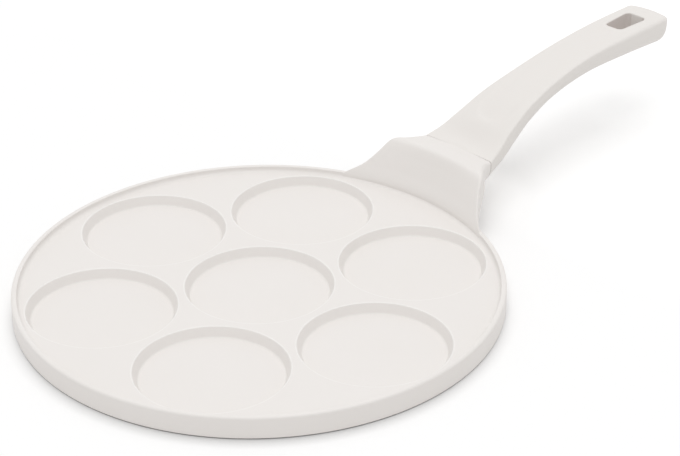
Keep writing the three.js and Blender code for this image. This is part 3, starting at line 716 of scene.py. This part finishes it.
finish_piece(handle, [
    moulded_face("soft_lacquer", LACQUER),
    moulded_face("hole_painted_shade", HOLE_PAINTED_SHADE),
], "handle")
hole_painted_shade = handle.data.materials.find("hole_painted_shade")
# The hanging hole's upright walls take the painted shade, a darker colour.
for face in handle.data.polygons:
    is_upright = abs(face.normal.z) < math.sin(HOLE_WALL_TILT)
    is_in_length = abs(face.center.x - SEAM_X - HOLE_MIDDLE) <= HOLE_LENGTH / 2
    is_in_width = abs(face.center.y) <= HOLE_TIP_WIDTH / 2
    if is_upright and is_in_length and is_in_width:
        face.material_index = hole_painted_shade


# Screw set
# One zinc-plated steel screw with a cross recess, over a split washer and a plain one. It goes up through
# the handle's underside into the tapped hole in the tang and pulls the handle home.
SEAT_GAP = 0.0003
PLAIN_WASHER_RADIUS = 0.005
PLAIN_WASHER_THICKNESS = 0.0008
SPLIT_WASHER_RADIUS = 0.0043
SPLIT_WASHER_THICKNESS = 0.0011
SPLIT_WASHER_SLIT = 0.0006
SCREW_HEAD_RADIUS = 0.0045
SCREW_HEAD_HEIGHT = 0.0026
SCREW_END = 0.0024
SCREW_TIP_ROUND = 0.0006
RECESS_LENGTH = 0.005
RECESS_WIDTH = 0.0012
RECESS_DEPTH = 0.0014
RECESS_TAPER = 0.55
STEEL_EDGE = 0.0001
STEEL_EDGE_STEPS = 3
ZINC = "#c6c8c7"
ZINC_ROUGHNESS = 0.3

plain_washer_top = SCREW_SEAT - SEAT_GAP
split_washer_top = plain_washer_top - PLAIN_WASHER_THICKNESS - SEAT_GAP
screw_head_top = split_washer_top - SPLIT_WASHER_THICKNESS - SEAT_GAP
screw_head_bottom = screw_head_top - SCREW_HEAD_HEIGHT


def washer(radius, thickness, top, slit=0):
    """A flat ring with broken edges. A slit leaves it open on its +X side."""
    bm = bmesh.new()
    bmesh.ops.create_grid(bm, x_segments=1, y_segments=1, size=0.5,
                          matrix=Matrix.Rotation(math.pi / 2, 4, "X"))
    bmesh.ops.scale(bm, verts=bm.verts[:], vec=(radius - screw_hole_radius, 1, thickness))
    bmesh.ops.bevel(bm, geom=bm.verts[:], offset=STEEL_EDGE, offset_type="OFFSET", affect="VERTICES",
                    segments=STEEL_EDGE_STEPS, profile=0.5, material=-1)
    middle = ((radius + screw_hole_radius) / 2, 0, top - thickness / 2)
    bmesh.ops.translate(bm, verts=bm.verts[:], vec=middle)
    if not slit:
        bmesh.ops.delete(bm, geom=bm.faces[:], context="FACES_ONLY")
    half_slit = slit / (2 * radius)
    bmesh.ops.rotate(bm, verts=bm.verts[:], cent=(0, 0, 0), matrix=Matrix.Rotation(half_slit, 3, "Z"))
    bmesh.ops.spin(bm, geom=bm.verts[:] + bm.edges[:] + bm.faces[:], cent=(0, 0, 0), axis=(0, 0, 1),
                   angle=2 * (math.pi - half_slit), steps=SCREW_STEPS, use_merge=not slit)
    return on_screw_axis(bm)


zinc = plain_metal("zinc_plating", ZINC, ZINC_ROUGHNESS)
screw = new_object("screw", on_screw_axis(turned([
    (0, screw_head_bottom, 0),
    (SCREW_HEAD_RADIUS, screw_head_bottom, SCREW_HEAD_HEIGHT / 2),
    (SCREW_HEAD_RADIUS, screw_head_top, STEEL_EDGE),
    (SCREW_RADIUS, screw_head_top, STEEL_EDGE),
    (SCREW_RADIUS, SCREW_END, SCREW_TIP_ROUND),
    (0, SCREW_END, 0),
], SCREW_STEPS)))
for size in ((RECESS_LENGTH, RECESS_WIDTH), (RECESS_WIDTH, RECESS_LENGTH)):
    recess = bmesh.new()
    bmesh.ops.create_cube(recess, size=1)
    bmesh.ops.scale(recess, verts=recess.verts[:], vec=(*size, 2 * RECESS_DEPTH))
    inner_end = [vert for vert in recess.verts if vert.co.z > 0]
    bmesh.ops.scale(recess, verts=inner_end, vec=(RECESS_TAPER, RECESS_TAPER, 1))
    bmesh.ops.translate(recess, verts=recess.verts[:], vec=(0, 0, screw_head_bottom))
    combine(screw, on_screw_axis(recess), "DIFFERENCE")
finish_piece(screw, [zinc], "handle_screw")
split_washer = new_object("split_washer", washer(
    SPLIT_WASHER_RADIUS, SPLIT_WASHER_THICKNESS, split_washer_top, SPLIT_WASHER_SLIT))
finish_piece(split_washer, [zinc], "spring_washer")
plain_washer = new_object("plain_washer", washer(
    PLAIN_WASHER_RADIUS, PLAIN_WASHER_THICKNESS, plain_washer_top))
finish_piece(plain_washer, [zinc], "flat_washer")


# Camera
# It stands at the photograph's viewing angle, aimed a little past the plate's middle towards the handle.
VIEW_AIM = Vector((0.0401, -0.0202, 0.0346))
VIEW_AZIMUTH = math.radians(-45.22)
VIEW_ELEVATION = math.radians(29.31)
VIEW_ROLL = math.radians(0.43)
VIEW_DISTANCE = 1.1563
VIEW_LENS = 116.1

camera = bpy.data.objects.new("camera", bpy.data.cameras.new("camera"))
camera.data.lens = VIEW_LENS
bpy.context.scene.collection.objects.link(camera)
turn_to_view = (Matrix.Rotation(VIEW_AZIMUTH, 4, "Z")
                @ Matrix.Rotation(math.pi / 2 - VIEW_ELEVATION, 4, "X")
                @ Matrix.Rotation(-VIEW_ROLL, 4, "Z"))
step_back = Matrix.Translation((0, 0, VIEW_DISTANCE))
camera.matrix_world = Matrix.Translation(VIEW_AIM) @ turn_to_view @ step_back
bpy.context.scene.camera = camera


# Floor and light
# A white sweep in an even white surround, under a very large soft light overhead and a weaker one from
# behind. The floor stays white to the eye. The dark line before the pan is partly its real shadow and
# partly painted shadow, and beside the neck painted light brightens the floor, so that the handle's shadow
# is pale and compact.
FLOOR_SIZE = 12
FLOOR_Z = -0.00005
FLOOR_SEEN = "#ffffff"
FLOOR_BOUNCE = "#efeeed"
# A painted shadow darkens the floor in front of the pan.
PAINTED_SHADOW_REACH = 0.0085
PAINTED_SHADOW_SHARE = 0.65
PAINTED_SHADOW_SIDE = (-0.7, -0.7, 0)
# Painted light brightens the floor beside the neck.
PAINTED_LIGHT_REACH = 0.03
PAINTED_LIGHT_STRENGTH = 0.42
PAINTED_LIGHT_GAIN = 1.08
PAINTED_LIGHT_START_X = 0.145
PAINTED_LIGHT_FULL_X = 0.185
SURROUND = "#ffffff"
SURROUND_STRENGTH = 0.7
SURROUND_SEEN_STRENGTH = 1
OVERHEAD_STRENGTH = 0.79
OVERHEAD_ANGLE = math.radians(50)
OVERHEAD_TILT = math.radians(10)
OVERHEAD_AZIMUTH = math.radians(-135)
KEY_STRENGTH = 0.21
KEY_ANGLE = math.radians(35)
KEY_TILT = math.radians(35)
KEY_AZIMUTH = math.radians(45)


def seen_directly(tree):
    """1 for rays from the camera and for mirrored or refracted ones, which show things as they look."""
    path = add_node(tree, "ShaderNodeLightPath")
    mirrored = add_node(tree, "ShaderNodeMath", {
        0: path.outputs["Is Glossy Ray"], 1: path.outputs["Is Transmission Ray"]}, operation="MAXIMUM")
    return add_node(tree, "ShaderNodeMath", {
        0: path.outputs["Is Camera Ray"], 1: mirrored.outputs[0]}, operation="MAXIMUM").outputs[0]


def white_paper():
    """Paper that is white to the eye, and that throws a little less light back at the pan."""
    material, tree = new_material("white_paper")
    place = add_node(tree, "ShaderNodeTexCoord").outputs["Object"]
    is_seen = seen_directly(tree)

    # Painted shadow: ambient occlusion darkens the floor's colour in front of the pan, deepening the dark
    # line where the pan's front meets the floor.
    to_front = add_node(tree, "ShaderNodeVectorMath", {0: place, 1: PAINTED_SHADOW_SIDE}, operation="DOT_PRODUCT")
    painted_shadow_share = add_node(tree, "ShaderNodeMapRange", {
        "Value": to_front.outputs["Value"], "From Max": PLATE_RADIUS, "To Max": PAINTED_SHADOW_SHARE})
    painted_shadow = add_node(tree, "ShaderNodeAmbientOcclusion", {
        "Color": linear(FLOOR_SEEN), "Distance": PAINTED_SHADOW_REACH})
    seen = add_node(tree, "ShaderNodeMix", {
        "Factor": painted_shadow_share.outputs["Result"], "A": linear(FLOOR_SEEN), "B": painted_shadow.outputs["Color"]},
        data_type="RGBA")
    colour = add_node(tree, "ShaderNodeMix", {
        "Factor": is_seen, "A": linear(FLOOR_BOUNCE), "B": seen.outputs["Result"]}, data_type="RGBA")

    # Painted light: a gain and a glow brighten the floor's colour beside the neck, most of all close to it.
    apart = add_node(tree, "ShaderNodeSeparateXYZ", {"Vector": place})
    by_neck = add_node(tree, "ShaderNodeMapRange", {
        "Value": apart.outputs["X"], "From Min": PAINTED_LIGHT_START_X, "From Max": PAINTED_LIGHT_FULL_X,
        "To Max": is_seen})
    gain = add_node(tree, "ShaderNodeMapRange", {
        "Value": by_neck.outputs["Result"], "To Min": 1, "To Max": PAINTED_LIGHT_GAIN})
    lit = add_node(tree, "ShaderNodeVectorMath", {
        0: colour.outputs["Result"], "Scale": gain.outputs["Result"]}, operation="SCALE")
    openness = add_node(tree, "ShaderNodeAmbientOcclusion", {"Distance": PAINTED_LIGHT_REACH})
    closeness = add_node(tree, "ShaderNodeMapRange", {
        "Value": openness.outputs["AO"], "To Min": PAINTED_LIGHT_STRENGTH, "To Max": 0})
    lift = add_node(tree, "ShaderNodeMath", {
        0: by_neck.outputs["Result"], 1: closeness.outputs["Result"]}, operation="MULTIPLY")

    diffuse = add_node(tree, "ShaderNodeBsdfDiffuse", {"Color": lit.outputs["Vector"]})
    painted_glow = add_node(tree, "ShaderNodeEmission", {"Strength": lift.outputs[0]})
    shader = add_node(tree, "ShaderNodeAddShader", {
        0: diffuse.outputs["BSDF"], 1: painted_glow.outputs["Emission"]})
    add_node(tree, "ShaderNodeOutputMaterial", {"Surface": shader.outputs["Shader"]})
    return material


floor_mesh = bmesh.new()
bmesh.ops.create_grid(floor_mesh, x_segments=1, y_segments=1, size=FLOOR_SIZE / 2,
                      matrix=Matrix.Translation((0, 0, FLOOR_Z)))
floor = new_object("floor", floor_mesh)
floor.data.materials.append(white_paper())

surround = bpy.data.worlds.new("surround")
surround.use_nodes = True
surround.node_tree.nodes.clear()
surround_strength = add_node(surround.node_tree, "ShaderNodeMix", {
    "Factor": seen_directly(surround.node_tree), "A": SURROUND_STRENGTH, "B": SURROUND_SEEN_STRENGTH})
surround_light = add_node(surround.node_tree, "ShaderNodeBackground", {
    "Strength": surround_strength.outputs["Result"], "Color": linear(SURROUND)})
add_node(surround.node_tree, "ShaderNodeOutputWorld", {"Surface": surround_light.outputs["Background"]})
bpy.context.scene.world = surround


def add_sun(name, strength, angle, tilt, azimuth):
    """A distant light of a given width, tilted from straight overhead towards an azimuth."""
    sun = bpy.data.objects.new(name, bpy.data.lights.new(name, "SUN"))
    sun.data.energy = strength
    sun.data.angle = angle
    sun.rotation_euler = (0, tilt, azimuth)
    bpy.context.scene.collection.objects.link(sun)


add_sun("overhead_light", OVERHEAD_STRENGTH, OVERHEAD_ANGLE, OVERHEAD_TILT, OVERHEAD_AZIMUTH)
add_sun("key_light", KEY_STRENGTH, KEY_ANGLE, KEY_TILT, KEY_AZIMUTH)
bpy.context.scene.view_settings.view_transform = "Standard"
